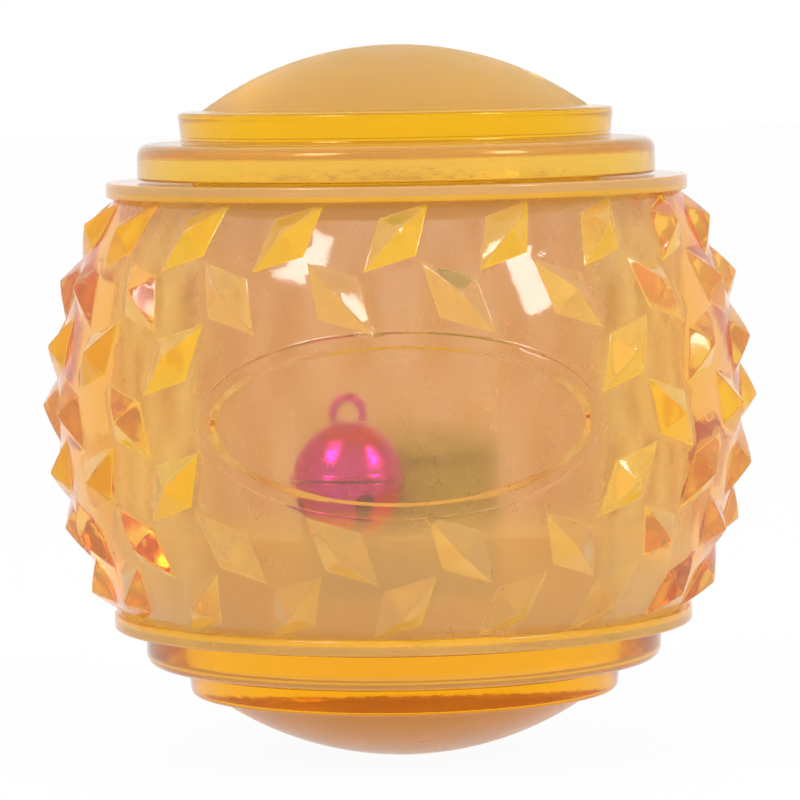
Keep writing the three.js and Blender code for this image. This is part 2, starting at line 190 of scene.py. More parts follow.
def turn(work, outline, sides, spot=(0, 0, 0)):
    """Spins an outline of (radius, height) points about an upright axis through spot.

    Gives a list of faces for each step of the outline.
    """
    x, y, z = spot
    rings = []
    for radius, height in outline:
        if radius < TINY:
            rings.append([work.verts.new(place(x, y, z + height))])
            continue
        ring = []
        for side in range(sides):
            angle = 2 * math.pi * side / sides - math.pi
            ring.append(work.verts.new(place(
                x + radius * math.sin(angle), y - radius * math.cos(angle), z + height)))
        rings.append(ring)
    bands = []
    for low, high in zip(rings, rings[1:]):
        band = []
        for side in range(sides if len(low) + len(high) > 2 else 0):
            after = (side + 1) % sides
            corners = [low[side % len(low)], low[after % len(low)]]
            corners += [high[after % len(high)], high[side % len(high)]]
            band.append(work.faces.new(list(dict.fromkeys(corners))))
        bands.append(band)
    return bands


def turned_piece(name, outline, sides, spot, body, node, material):
    work = bmesh.new()
    turn(work, outline, sides, spot)
    return piece_from(work, name, body, node, material)


def cut(piece, cutters):
    """Takes the cutters away from a piece and keeps its smooth faces."""
    for cutter in cutters:
        change = piece.modifiers.new("cut", "BOOLEAN")
        change.operation = "DIFFERENCE"
        change.solver = "EXACT"
        change.object = cutter
    whole = bpy.context.evaluated_depsgraph_get()
    result = bpy.data.meshes.new_from_object(piece.evaluated_get(whole))
    piece.modifiers.clear()
    piece.data = result
    result.set_sharp_from_angle(angle=CUT_SHARP)
    for cutter in cutters:
        bpy.data.objects.remove(cutter)


def tool(work, name):
    """A loose solid to cut with."""
    bmesh.ops.recalc_face_normals(work, faces=work.faces)
    mesh = bpy.data.meshes.new(name)
    work.to_mesh(mesh)
    work.free()
    made = bpy.data.objects.new(name, mesh)
    bpy.context.scene.collection.objects.link(made)
    return made


# Materials

NOISE_RANGE = (0.3, 0.7)  # where most of a noise's values lie


class Shader:
    """A material with one principled shader, and short ways to add the nodes that drive it."""

    def __init__(self, name, **values):
        self.material = bpy.data.materials.new(name)
        self.material.use_nodes = True
        self.nodes = self.material.node_tree.nodes
        self.links = self.material.node_tree.links
        self.shader = self.nodes["Principled BSDF"]
        self.output = self.nodes["Material Output"]
        for label, value in values.items():
            self.shader.inputs[label.replace("_", " ")].default_value = value

    def noise(self, scale, detail=4.0):
        spot = self.nodes.new("ShaderNodeTexCoord")
        noise = self.nodes.new("ShaderNodeTexNoise")
        noise.inputs["Scale"].default_value = scale
        noise.inputs["Detail"].default_value = detail
        self.links.new(spot.outputs["Object"], noise.inputs["Vector"])
        return noise.outputs["Fac"]

    def painted(self, name, kind="Fac"):
        """A value that the mesh's faces carry."""
        carried = self.nodes.new("ShaderNodeAttribute")
        carried.attribute_name = name
        return carried.outputs[kind]

    def span(self, fac, low, high, start=0.0, end=1.0):
        span = self.nodes.new("ShaderNodeMapRange")
        span.inputs["From Min"].default_value = start
        span.inputs["From Max"].default_value = end
        span.inputs["To Min"].default_value = low
        span.inputs["To Max"].default_value = high
        self.links.new(fac, span.inputs["Value"])
        return span.outputs["Result"]

    def vary(self, label, noise, low, high):
        """Lets a noise drive a value between two ends."""
        self.links.new(self.span(noise, low, high, *NOISE_RANGE), self.shader.inputs[label])

    def tint(self, fac, first, second):
        """Mixes the base colour from two."""
        mix = self.nodes.new("ShaderNodeMix")
        mix.data_type = "RGBA"
        self.links.new(fac, mix.inputs["Factor"])
        for label, colour in (("A", first), ("B", second)):
            socket = [entry for entry in mix.inputs if entry.name == label and entry.type == "RGBA"][0]
            socket.default_value = (*colour, 1)
        mixed = [entry for entry in mix.outputs if entry.type == "RGBA"][0]
        self.links.new(mixed, self.shader.inputs["Base Color"])

    def bump(self, fac, height):
        bump = self.nodes.new("ShaderNodeBump")
        bump.inputs["Distance"].default_value = height
        bump.inputs["Strength"].default_value = 1.0
        self.links.new(fac, bump.inputs["Height"])
        self.links.new(bump.outputs["Normal"], self.shader.inputs["Normal"])

    def absorb(self, colour, density):
        soak = self.nodes.new("ShaderNodeVolumeAbsorption")
        soak.inputs["Color"].default_value = (*colour, 1)
        soak.inputs["Density"].default_value = density
        self.links.new(soak.outputs["Volume"], self.output.inputs["Volume"])


RUBBER_IOR = 1.41
MOTTLE_SCALE = 120.0
UNEVEN_SCALE = 300.0
SKIN_SCALE = 500.0
SKIN_DETAIL = 6.0
SKIN_BUMP = 0.00002

# Finishes of the rubber's faces: the skin's tint, its roughness, and the share of light that it
# scatters. Some are lit and shaded copies that paint light and shade onto the studs and the lower cap.
CLEAR = ((1.0, 0.87, 0.8), 0.06, 0.01)
# Lit and shaded copies of the stud finishes: painted light on a stud's upper facets, painted shade on
# its lower facets
STUD_LIT = ((1.0, 0.77, 0.2), 0.1, 0.2)
STUD_SHADED = ((1.0, 0.62, 0.03), 0.12, 0.45)
PALE_LIT = ((1.0, 0.8, 0.42), 0.1, 0.1)
PALE_SHADED = ((1.0, 0.67, 0.18), 0.12, 0.3)
LIP = ((0.93, 0.6, 0.22), 0.1, 0.4)
LIP_EDGE = ((1.0, 0.56, 0.04), 0.1, 0.5)
# Painted light: the lower lip is clearer and lighter than the upper one, against the shade under the
# ball
LOW_LIP_PAINTED_LIGHT = ((1.0, 0.78, 0.28), 0.1, 0.15)
BORE = ((0.92, 0.74, 1.0), 0.28, 0.18)
SEAM = ((1.0, 0.88, 0.85), 0.3, 0.65)
FLANGE = ((0.96, 0.82, 0.65), 0.08, 0.1)
# Painted light: the lower flange is more saturated than the upper one, against the shade under the ball
LOW_FLANGE_PAINTED_LIGHT = ((1.0, 0.64, 0.18), 0.08, 0.12)
SHOULDER = ((0.88, 0.58, 0.18), 0.12, 0.28)
RING = ((1.0, 0.72, 0.03), 0.1, 0.2)
# Painted light: the lower ring is clearer than the upper one, against the shade under the ball
LOW_RING_PAINTED_LIGHT = ((1.0, 0.62, 0.01), 0.08, 0.02)
DOME = ((1.0, 0.83, 0.3), 0.42, 0.2)
# Painted light: the lower dome is clearer and more saturated than the upper one, against the shade under
# the ball
UNDER_PAINTED_LIGHT = ((1.0, 0.66, 0.03), 0.25, 0.04)


def rubber(name, dye, density, gloss=(1.0, 1.0, 1.0)):
    """Clear dyed rubber whose faces each carry a finish."""
    made = Shader(name, IOR=RUBBER_IOR, Specular_Tint=(*gloss, 1))
    mottle = made.span(made.noise(MOTTLE_SCALE), 0.95, 1.0, *NOISE_RANGE)
    tint = made.nodes.new("ShaderNodeVectorMath")
    tint.operation = "SCALE"
    made.links.new(made.painted("tint", "Vector"), tint.inputs[0])
    made.links.new(mottle, tint.inputs["Scale"])
    made.links.new(tint.outputs["Vector"], made.shader.inputs["Base Color"])
    clear = made.span(made.painted("haze"), 1.0, 0.0)
    made.links.new(clear, made.shader.inputs["Transmission Weight"])
    uneven = made.span(made.noise(UNEVEN_SCALE), 0.7, 1.3)
    rough = made.nodes.new("ShaderNodeMath")
    rough.operation = "MULTIPLY"
    made.links.new(made.painted("rough"), rough.inputs[0])
    made.links.new(uneven, rough.inputs[1])
    made.links.new(rough.outputs[0], made.shader.inputs["Roughness"])
    made.bump(made.noise(SKIN_SCALE, SKIN_DETAIL), SKIN_BUMP)
    made.absorb(dye, density)
    return made.material


def rubber_mesh():
    work = bmesh.new()
    work.faces.layers.float_vector.new("tint")
    work.faces.layers.float.new("rough")
    work.faces.layers.float.new("haze")
    return work


def finish(work, faces, kind):
    layers = work.faces.layers
    tint = layers.float_vector["tint"]
    rough = layers.float["rough"]
    haze = layers.float["haze"]
    for face in faces:
        face[tint], face[rough], face[haze] = kind


def metal(name, colour, other, rough, scale):
    made = Shader(name, Metallic=1.0)
    made.tint(made.noise(scale), colour, other)
    made.vary("Roughness", made.noise(scale * 4), rough * 0.75, rough * 1.3)
    return made.material


def plastic(name, colour, other, rough, clear=0.0, scale=400.0):
    made = Shader(name, Transmission_Weight=clear, IOR=1.5)
    made.tint(made.noise(scale), colour, other)
    made.vary("Roughness", made.noise(scale * 3), rough * 0.8, rough * 1.25)
    return made.material


belt_rubber = rubber("belt_rubber", (0.9945, 0.88, 0.48), 100.0)
cap_rubber = rubber("cap_rubber", (0.995, 0.91, 0.05), 110.0, (1.0, 0.85, 0.4))
green_plastic = plastic("green_plastic", (0.66, 0.80, 0.2), (0.60, 0.74, 0.17), 0.25, 0.15)
bell_metal = metal("bell_metal", (0.74, 0.025, 1.0), (0.68, 0.02, 0.92), 0.13, 500.0)
steel = metal("steel", (0.72, 0.71, 0.68), (0.62, 0.61, 0.59), 0.28, 900.0)
brass = metal("brass", (0.80, 0.60, 0.26), (0.70, 0.50, 0.20), 0.3, 900.0)
laminate = plastic("laminate", (0.03, 0.20, 0.06), (0.04, 0.26, 0.08), 0.45)
epoxy = plastic("epoxy", (0.012, 0.012, 0.015), (0.02, 0.02, 0.025), 0.4)
red_lens = plastic("red_lens", (0.75, 0.03, 0.03), (0.68, 0.02, 0.02), 0.12, 0.6)
green_lens = plastic("green_lens", (0.05, 0.55, 0.08), (0.04, 0.48, 0.06), 0.12, 0.6)
blue_lens = plastic("blue_lens", (0.04, 0.12, 0.70), (0.03, 0.10, 0.62), 0.12, 0.6)


# The belt: its outside is drawn flat, in millimetres across and up, and wrapped on the barrel

def on_barrel(across, up, out):
    rise = up / BELT_ARC_RADIUS
    bearing = across / BELT_RADIUS
    radius = ARC_CENTRE + (BELT_ARC_RADIUS + out) * math.cos(rise)
    height = (BELT_ARC_RADIUS + out) * math.sin(rise)
    return place(radius * math.sin(bearing), -radius * math.cos(bearing), height)


def stud_spots():
    """(across, up, tilt) of each stud, leaving out those on the badge."""
    spots = []
    pitch = 2 * math.pi / STUDS_PER_ROW
    for row in range(-STUD_ROWS_EACH_SIDE, STUD_ROWS_EACH_SIDE + 1):
        odd = row % 2 == 1
        for step in range(-STUDS_PER_ROW // 2, STUDS_PER_ROW // 2 + 1):
            bearing = (step + (0 if odd else 0.5)) * pitch
            across = bearing * BELT_RADIUS
            up = row * ROW_PITCH
            if (across / (BADGE_LENGTH / 2)) ** 2 + (up / (BADGE_WIDTH / 2)) ** 2 < 1:
                continue
            spots.append((across, up, STUD_TILT if odd else -STUD_TILT))
    return spots


STUD_SPOTS = stud_spots()
STUD_EDGE = 0.09  # half the width of a stud's rounded edges
STUD_MARGIN = STUD_EDGE * math.hypot(2 / STUD_LENGTH, 2 / STUD_WIDTH)
STUD_PEAK = STUD_HEIGHT / (1 - STUD_EDGE * (2 / STUD_LENGTH + 2 / STUD_WIDTH))

# How points are spread over the belt's outside
EDGE_STEPS = 4
POINT_SPACING = 1.3
BORDER_GAP = 0.15
STUD_GAP = 0.2  # kept free round a stud, as a share of its size
RIM_STUD_GAP = 0.1
RIM_STEPS = 160
RIM_REACH = 1.3  # where the rim's own points end, in half widths of the rim
RIM_GAP = 1.6  # where other points begin
FLAT_TOLERANCE = 1e-5
FACET_WEIGHT = 90


def split(loop):
    """Closed lines in short steps."""
    points = []
    for here, after in zip(loop, loop[1:] + loop[:1]):
        for step in range(EDGE_STEPS):
            share = step / EDGE_STEPS
            points.append((here[0] + (after[0] - here[0]) * share,
                           here[1] + (after[1] - here[1]) * share))
    return points


def stud_loops():
    """Round a stud's four facets, and round its foot, in millimetres along and across it."""
    half_length = STUD_LENGTH / 2
    half_width = STUD_WIDTH / 2
    far = half_length * (1 - STUD_MARGIN - STUD_EDGE / half_width)
    wide = half_width * (1 - STUD_MARGIN - STUD_EDGE / half_length)
    loops = []
    for right, up in ((1, 1), (-1, 1), (-1, -1), (1, -1)):
        loops.append(split([(right * STUD_EDGE, up * STUD_EDGE), (right * far, up * STUD_EDGE),
                            (right * STUD_EDGE, up * wide)]))
    long_reach = half_length * (1 + STUD_MARGIN)
    short_reach = half_width * (1 + STUD_MARGIN)
    loops.append(split([(long_reach, 0), (0, short_reach), (-long_reach, 0), (0, -short_reach)]))
    return loops


def stud_share(spot, across, up):
    """How far inside a stud's outline a point is: 1 at its tip, 0 on the outline, below 0 outside."""
    centre_across, centre_up, tilt = spot
    right = across - centre_across
    rise = up - centre_up
    length = (right * math.cos(tilt) + rise * math.sin(tilt)) / (STUD_LENGTH / 2)
    width = (rise * math.cos(tilt) - right * math.sin(tilt)) / (STUD_WIDTH / 2)
    return 1 - abs(length) - abs(width)


def studs_near(across, up):
    return [spot for spot in STUD_SPOTS
            if abs(spot[0] - across) < STUD_LENGTH and abs(spot[1] - up) < STUD_LENGTH]


def badge_distance(across, up):
    """Millimetres outside the badge's oval, or inside it where below nought."""
    half_length = BADGE_LENGTH / 2
    half_width = BADGE_WIDTH / 2
    share = math.hypot(across / half_length, up / half_width)
    slope = math.hypot(across / half_length ** 2, up / half_width ** 2)
    return (share - 1) * share / max(slope, TINY)


def belt_height(across, up):
    height = 0.0
    for spot in studs_near(across, up):
        height = max(height, min(STUD_HEIGHT, STUD_PEAK * stud_share(spot, across, up)))
    off = abs(badge_distance(across, up)) / (BADGE_RIM_WIDTH / 2)
    if off < 1:
        height = max(height, BADGE_RIM_RISE * min(1.0, (1 - off) / BADGE_RIM_SLOPE))
    return height


def belt_points():
    """Flat points for the belt's outside, and the lines between them that stay edges."""
    half_turn = math.pi * BELT_RADIUS
    lip_up = BELT_ARC_RADIUS * math.asin((BELT_HALF_HEIGHT - LIP_HEIGHT) / BELT_ARC_RADIUS)
    points = []
    lines = []

    def add(across, up):
        points.append(Vector((across, up)))
        return len(points) - 1

    def inside(across, up):
        return abs(across) < half_turn - BORDER_GAP and abs(up) < lip_up - BORDER_GAP

    def add_loop(spots):
        """Keeps a closed line, or the stretches of it on this side of the seam at the back."""
        known = [add(*spot) if abs(spot[0]) < half_turn + TINY else None for spot in spots]
        for here in range(len(spots)):
            after = (here + 1) % len(spots)
            ends = [known[here], known[after]]
            if ends == [None, None]:
                continue
            if None in ends:
                seam = math.copysign(half_turn, spots[here][0])
                share = (seam - spots[here][0]) / (spots[after][0] - spots[here][0])
                up = spots[here][1] + share * (spots[after][1] - spots[here][1])
                ends[ends.index(None)] = add(seam, up)
            lines.append(tuple(ends))

    step_across = 2 * half_turn / HULL_SIDES
    rows = 2 * round(lip_up / step_across)
    border = []
    for side in range(HULL_SIDES + 1):
        border.append((-half_turn + side * step_across, -lip_up))
    for row in range(1, rows):
        border.append((half_turn, -lip_up + 2 * lip_up * row / rows))
    for side in range(HULL_SIDES, -1, -1):
        border.append((-half_turn + side * step_across, lip_up))
    for row in range(rows - 1, 0, -1):
        border.append((-half_turn, -lip_up + 2 * lip_up * row / rows))
    first = len(points)
    for spot in border:
        add(*spot)
    count = len(border)
    lines += [(first + i, first + (i + 1) % count) for i in range(count)]

    for centre_across, centre_up, tilt in STUD_SPOTS:
        for loop in stud_loops():
            add_loop([(centre_across + along * math.cos(tilt) - aside * math.sin(tilt),
                       centre_up + along * math.sin(tilt) + aside * math.cos(tilt))
                      for along, aside in loop])

    shoulder = 1 - BADGE_RIM_SLOPE
    rim_offsets = (-RIM_REACH, -1.0, -shoulder, -shoulder / 2, shoulder / 2, shoulder, 1.0, RIM_REACH)
    for offset in rim_offsets:
        out = offset * BADGE_RIM_WIDTH / 2
        for step in range(RIM_STEPS):
            angle = 2 * math.pi * step / RIM_STEPS
            normal = Vector((math.cos(angle) / BADGE_LENGTH, math.sin(angle) / BADGE_WIDTH)).normalized()
            spot = (BADGE_LENGTH / 2 * math.cos(angle) + normal.x * out,
                    BADGE_WIDTH / 2 * math.sin(angle) + normal.y * out)
            if all(stud_share(stud, *spot) < -RIM_STUD_GAP for stud in studs_near(*spot)):
                add(*spot)

    for row in range(int(-lip_up / POINT_SPACING), int(lip_up / POINT_SPACING) + 1):
        shift = POINT_SPACING / 2 if row % 2 else 0
        for column in range(int(-half_turn / POINT_SPACING), int(half_turn / POINT_SPACING) + 1):
            across = column * POINT_SPACING + shift
            up = row * POINT_SPACING
            on_rim = abs(badge_distance(across, up)) < RIM_GAP * BADGE_RIM_WIDTH / 2
            if on_rim or not inside(across, up):
                continue
            if all(stud_share(spot, across, up) < -STUD_GAP for spot in studs_near(across, up)):
                add(across, up)
    return points, lines


def belt_finish_and_painted_shade(across, up):
    """A stud's upper facets are clearer than its lower ones, as painted light on the upper facets and
    painted shade on the lower ones, and some rows are paler than the rest.
    """
    for centre_across, centre_up, tilt in studs_near(across, up):
        if stud_share((centre_across, centre_up, tilt), across, up) > -STUD_MARGIN:
            over = (up - centre_up) * math.cos(tilt) - (across - centre_across) * math.sin(tilt)
            pale = round(centre_up / ROW_PITCH) in PALE_ROWS
            # Painted light and shade: the upper facets take the lit finish, the lower facets the shaded
            # one
            if over > -STUD_EDGE:
                return PALE_LIT if pale else STUD_LIT
            return PALE_SHADED if pale else STUD_SHADED
    return CLEAR


def blended(first, second, share):
    """A finish part of the way from one to another."""
    tint = tuple(a + (b - a) * share for a, b in zip(first[0], second[0]))
    return (tint, *(a + (b - a) * share for a, b in zip(first[1:], second[1:])))


def make_belt():
    points, lines = belt_points()
    spots, _, faces, _, _, _ = delaunay_2d_cdt(points, lines, [], 0, FLAT_TOLERANCE)
    work = rubber_mesh()
    verts = [work.verts.new(on_barrel(p.x, p.y, belt_height(p.x, p.y))) for p in spots]
    for corners in faces:
        face = work.faces.new([verts[i] for i in corners])
        spot = sum((spots[i] for i in corners), Vector((0, 0))) / len(corners)
        finish(work, [face], belt_finish_and_painted_shade(*spot))

    lip_base = BELT_HALF_HEIGHT - LIP_HEIGHT
    edge_top = lip_base + LIP_EDGE_HEIGHT
    foot = ARC_CENTRE + math.sqrt(BELT_ARC_RADIUS ** 2 - lip_base ** 2)
    outline = softened([
        (foot, lip_base, 0),
        (LIP_RADIUS, lip_base, LIP_ROUND),
        (LIP_RADIUS, edge_top, 0),
        (LIP_RADIUS, BELT_HALF_HEIGHT, LIP_ROUND),
        (BORE_RADIUS, BELT_HALF_HEIGHT, 0),
    ])
    # The lower lip takes its own finish as painted light against the shade under the ball
    for sign, kind in ((1, LIP), (-1, LOW_LIP_PAINTED_LIGHT)):
        bands = turn(work, [(radius, sign * height) for radius, height in outline], HULL_SIDES)
        for band, (_, start), (_, end) in zip(bands, outline, outline[1:]):
            finish(work, band, LIP_EDGE if (start + end) / 2 < edge_top else kind)

    heights = [BELT_HALF_HEIGHT, CHAMBER_TOP]
    kinds = [SEAM]
    for step in range(FADE_STEPS + 1):
        share = step / FADE_STEPS
        heights.append(-FADE_START - (CHAMBER_DEPTH - FADE_START) * share)
        kinds.append(blended(BORE, SEAM, share))
    heights.append(-BELT_HALF_HEIGHT)
    kinds.append(SEAM)
    bands = turn(work, [(BORE_RADIUS, height) for height in heights], HULL_SIDES)
    for band, kind in zip(bands, kinds):
        finish(work, band, kind)

    bmesh.ops.remove_doubles(work, verts=work.verts, dist=JOIN_DISTANCE)
    piece = piece_from(work, "belt", "ball", "studded_belt", belt_rubber)
    piece.data.set_sharp_from_angle(angle=BELT_SHARP)
    flat = piece.modifiers.new("flat_facets", "WEIGHTED_NORMAL")
    flat.mode = "FACE_AREA"
    flat.weight = FACET_WEIGHT
    flat.keep_sharp = True


# The caps

FACE_TOLERANCE = 0.1


def cap_corners(spigot_end, flare):
    """A cap's outline from its spigot to its dome.

    The ring is wider at its far end by the flare, or narrower where the flare is below nought.
    """
    return [
        (SPIGOT_RADIUS, spigot_end, SPIGOT_ROUND),
        (SPIGOT_RADIUS, SEAT_HEIGHT, SEAT_ROUND),
        (FLANGE_RADIUS, SEAT_HEIGHT, FLANGE_FOOT_ROUND),
        (FLANGE_RADIUS, FLANGE_TOP, FLANGE_ROUND),
        (RING_RADIUS - max(flare, 0), FLANGE_TOP, RING_FOOT_ROUND),
        (RING_RADIUS + min(flare, 0), RING_TOP, RING_ROUND),
        (DOME_EDGE, RING_TOP, DOME_EDGE_ROUND),
    ]


def dome_points(end_radius):
    centre = DOME_TOP - DOME_RADIUS
    start = math.acos(DOME_EDGE / DOME_RADIUS)
    end = math.acos(end_radius / DOME_RADIUS)
    return arc(DOME_RADIUS, centre, start, end, DOME_STEPS)


def cap_finish_and_painted_light(radius, height, sign):
    """The finish of a cap's face by where it is; sign is 1 on the upper cap and -1 on the lower, whose
    faces take other finishes as painted light against the shade under the ball.
    """
    if height < SEAT_HEIGHT + FACE_TOLERANCE:
        return CLEAR
    if height < FLANGE_TOP - FLANGE_ROUND:
        return FLANGE if sign > 0 else LOW_FLANGE_PAINTED_LIGHT
    if height < FLANGE_TOP + FACE_TOLERANCE:
        return SHOULDER
    if radius > DOME_EDGE - 2 * FACE_TOLERANCE:
        return RING if sign > 0 else LOW_RING_PAINTED_LIGHT
    return DOME if sign > 0 else UNDER_PAINTED_LIGHT


def make_cap(node, sign, inner, spigot_end, end_radius, ending):
    dome = dome_points(end_radius)
    steps = softened(inner + cap_corners(spigot_end, sign * RING_FLARE) + [(*dome[1], 0)])
    outline = steps + dome[2:] + ending
    work = rubber_mesh()
    bands = turn(work, [(radius, sign * height) for radius, height in outline], HULL_SIDES)
    for band, start, end in zip(bands, outline, outline[1:]):
        finish(work, band, cap_finish_and_painted_light((start[0] + end[0]) / 2, (start[1] + end[1]) / 2, sign))
    bmesh.ops.remove_doubles(work, verts=work.verts, dist=JOIN_DISTANCE)
    piece = piece_from(work, node + "_rubber", "ball", node, cap_rubber)
    piece.data.set_sharp_from_angle(angle=CAP_SHARP)


def make_caps():
    make_cap("upper_cap", 1, [(0, CHAMBER_TOP, 0)], CHAMBER_TOP, 0.0, [])
    socket_floor = CHAMBER_DEPTH + SOCKET_DEPTH
    foot = DOME_TOP - DOME_RADIUS + math.sqrt(DOME_RADIUS ** 2 - FOOT_RADIUS ** 2)
    socket = [
        (0, socket_floor, 0),
        (SOCKET_RADIUS, socket_floor, SOCKET_FLOOR_ROUND),
        (SOCKET_RADIUS, CHAMBER_DEPTH, SOCKET_MOUTH_ROUND),
    ]
    make_cap("lower_cap", -1, socket, CHAMBER_DEPTH, FOOT_RADIUS, [(0, foot)])


# The light module

def bounds_mm(node):
    """A node's lowest and highest heights above the ball's centre, and its half width."""
    low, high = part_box(node)
    return low[2] / MM - CENTRE, high[2] / MM - CENTRE, extent(node).x / 2


def axis_of(node):
    spot = middle(node)
    return (spot.x, spot.y, 0)


def make_disc(name, node, material, rounding, sides=ROUND_SIDES):
    low, high, radius = bounds_mm(node)
    outline = softened([(0, low, 0), (radius, low, rounding), (radius, high, rounding), (0, high, 0)])
    turned_piece(name, outline, sides, axis_of(node), "ball", node, material)


LED_RADIUS = 1.5
LED_FLANGE_HEIGHT = 0.8
LED_FLANGE_REACH = 0.35
LED_HOLE_GAP = 0.3
CUP_WALL = 1.0
CUP_FLOOR = 1.0
POCKET_RADIUS = 6.55
BOARD_GAP = 0.3
LEDGE_GAP = 0.2
SKIRT_WALL = 0.7
LID_THICKNESS = 1.2
CELL_RIM = 0.35
CELL_FACE_INSET = 1.1
CELL_STEP_INSET = 0.9
CELL_STEP = 0.15
BOARD_ROUND = 0.08
PIN_ROUND = 0.12
SPRING_RADIUS = 1.1
SPRING_WIRE = 0.3
SPRING_TURNS = 3
WIRE_ROUNDNESS = 4
CUTTER_OVERRUN = 1.0

LEDS = [
    ("led_red", "red_lens", red_lens),
    ("led_green", "green_lens", green_lens),
    ("led_blue", "blue_lens", blue_lens),
]


def make_led(node, material):
    low, high, half_width = bounds_mm(node)
    flange = max(half_width, LED_RADIUS + LED_FLANGE_REACH)
    flange_top = low + LED_FLANGE_HEIGHT
    outline = softened([
        (0, low, 0),
        (flange, low, 0.1),
        (flange, flange_top, 0.12),
        (LED_RADIUS, flange_top, 0.08),
        (LED_RADIUS, high - LED_RADIUS, 0),
    ])
    outline += arc(LED_RADIUS, high - LED_RADIUS, 0, math.pi / 2, LENS_STEPS)[1:]
    turned_piece(node + "_lens", outline, SMALL_SIDES, axis_of(node), "ball", node, material)


def make_cup():
    """The module's cup, with a notch for the lower contact's riser; gives the radius of its bore."""
    low, high, radius = bounds_mm("module_cup")
    ledge = bounds_mm("circuit_board")[0] - LEDGE_GAP
    bore = radius - CUP_WALL
    base = low + CUP_FLOOR
    outline = softened([
        (0, low, 0),
        (radius, low, 0.5),
        (radius, high, 0.15),
        (bore, high, 0.15),
        (bore, ledge, 0.1),
        (POCKET_RADIUS, ledge, 0.15),
        (POCKET_RADIUS, base, 0.3),
        (0, base, 0),
    ])
    cup = turned_piece("light_cup", outline, ROUND_SIDES, (0, 0, 0), "ball", "module_cup",
                       green_plastic)
    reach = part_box("lower_contact")[1][0] / MM + BOARD_GAP
    half_width = extent("lower_contact").y / 2 + BOARD_GAP
    size = Matrix.Diagonal((reach * MM, 2 * half_width * MM, (high - base) * MM, 1))
    work = bmesh.new()
    bmesh.ops.create_cube(work, size=1)
    bmesh.ops.transform(work, verts=work.verts, matrix=size)
    bmesh.ops.translate(work, verts=work.verts, vec=place(reach / 2, 0, (base + high) / 2))
    cut(cup, [tool(work, "notch")])
    return bore


def make_lid(cup_bore):
    """The module's lid, with a skirt in the cup and a hole for each light."""
    low, high, radius = bounds_mm("module_lid")
    skirt = cup_bore - BOARD_GAP
    base = high - LID_THICKNESS
    outline = softened([
        (0, base, 0),
        (skirt - SKIRT_WALL, base, 0.15),
        (skirt - SKIRT_WALL, low, 0.1),
        (skirt, low, 0.1),
        (skirt, base, 0.1),
        (radius, base, 0.15),
        (radius, high, 0.5),
        (0, high, 0),
    ])
    lid = turned_piece("light_lid", outline, ROUND_SIDES, (0, 0, 0), "ball", "module_lid",
                       green_plastic)
    hole = LED_RADIUS + LED_HOLE_GAP
    start = base - CUTTER_OVERRUN
    end = high + CUTTER_OVERRUN
    holes = []
    for node, _, _ in LEDS:
        work = bmesh.new()
        turn(work, [(0, start), (hole, start), (hole, end), (0, end)], SMALL_SIDES, axis_of(node))
        holes.append(tool(work, "hole"))
    cut(lid, holes)


def make_cell(node):
    low, high, radius = bounds_mm(node)
    outline = softened([
        (0, low, 0),
        (radius - CELL_FACE_INSET, low, 0.1),
        (radius - CELL_STEP_INSET, low + CELL_STEP, 0.1),
        (radius - CELL_RIM, low + CELL_STEP, 0.15),
        (radius, low + CELL_RIM, 0.2),
        (radius, high, 0.25),
        (0, high, 0),
    ])
    turned_piece(node + "_can", outline, ROUND_SIDES, (0, 0, 0), "ball", node, steel)


def make_chip():
    low, high, radius = bounds_mm("flasher_chip")
    quarter = arc(radius, 0, 0, math.pi / 2, BLOB_STEPS)
    blob = [(0, low)] + [(r, low + h * (high - low) / radius) for r, h in quarter]
    turned_piece("chip_blob", blob, SMALL_SIDES, axis_of("flasher_chip"), "ball", "flasher_chip",
                 epoxy)


def make_module():
    cup_bore = make_cup()
    make_lid(cup_bore)
    make_disc("board", "circuit_board", laminate, BOARD_ROUND)
    make_cell("coin_cell_lower")
    make_cell("coin_cell_upper")
    for node, slot, lens in LEDS:
        make_led(node, lens)
    make_chip()
    make_disc("contact_pin", "switch_pin", brass, PIN_ROUND, SMALL_SIDES)
    make_spring()
    for node, material in (("lower_contact", brass), ("upper_contact", brass), ("resistor", epoxy)):
        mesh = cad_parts[node].data
        mesh.materials.clear()
        mesh.materials.append(material)


def wire(name, points, thickness, body, node, material):
    """A round wire along points in millimetres from the ball's centre."""
    curve = bpy.data.curves.new(name, "CURVE")
    curve.dimensions = "3D"
    curve.bevel_depth = thickness / 2 * MM
    curve.bevel_resolution = WIRE_ROUNDNESS
    curve.use_fill_caps = True
    spline = curve.splines.new("POLY")
    spline.points.add(len(points) - 1)
    for spot, point in zip(points, spline.points):
        point.co = (*place(*spot), 1)
    curve.materials.append(material)
    piece = bpy.data.objects.new(name, curve)
    bpy.context.scene.collection.objects.link(piece)
    settle(piece, body, node)


def make_spring():
    low, high, _ = bounds_mm("switch_spring")
    x, y, _ = axis_of("switch_pin")
    rise = high - SPRING_WIRE / 2 - low - SPRING_WIRE
    points = [(x + SPRING_RADIUS, y, low)]
    steps = COIL_STEPS * SPRING_TURNS
    for step in range(steps + 1):
        angle = 2 * math.pi * SPRING_TURNS * step / steps
        points.append((x + SPRING_RADIUS * math.cos(angle), y + SPRING_RADIUS * math.sin(angle),
                       low + SPRING_WIRE + rise * step / steps))
    wire("switch_coil", points, SPRING_WIRE, "shake_switch", "switch_spring", steel)


# The jingle bell

BELL_RADIUS = 4.75
BELL_WALL = 0.45
SEAM_REACH = 5.0
SEAM_GAP = 0.1
SEAM_HEIGHT = 0.35
SLOT_WIDTH = 1.1
SLOT_EYE_RADIUS = 0.85
SLOT_DROP = 1.9
SLOT_BEARING = math.radians(20)
LOOP_RADIUS = 1.25
LOOP_WIRE = 0.7


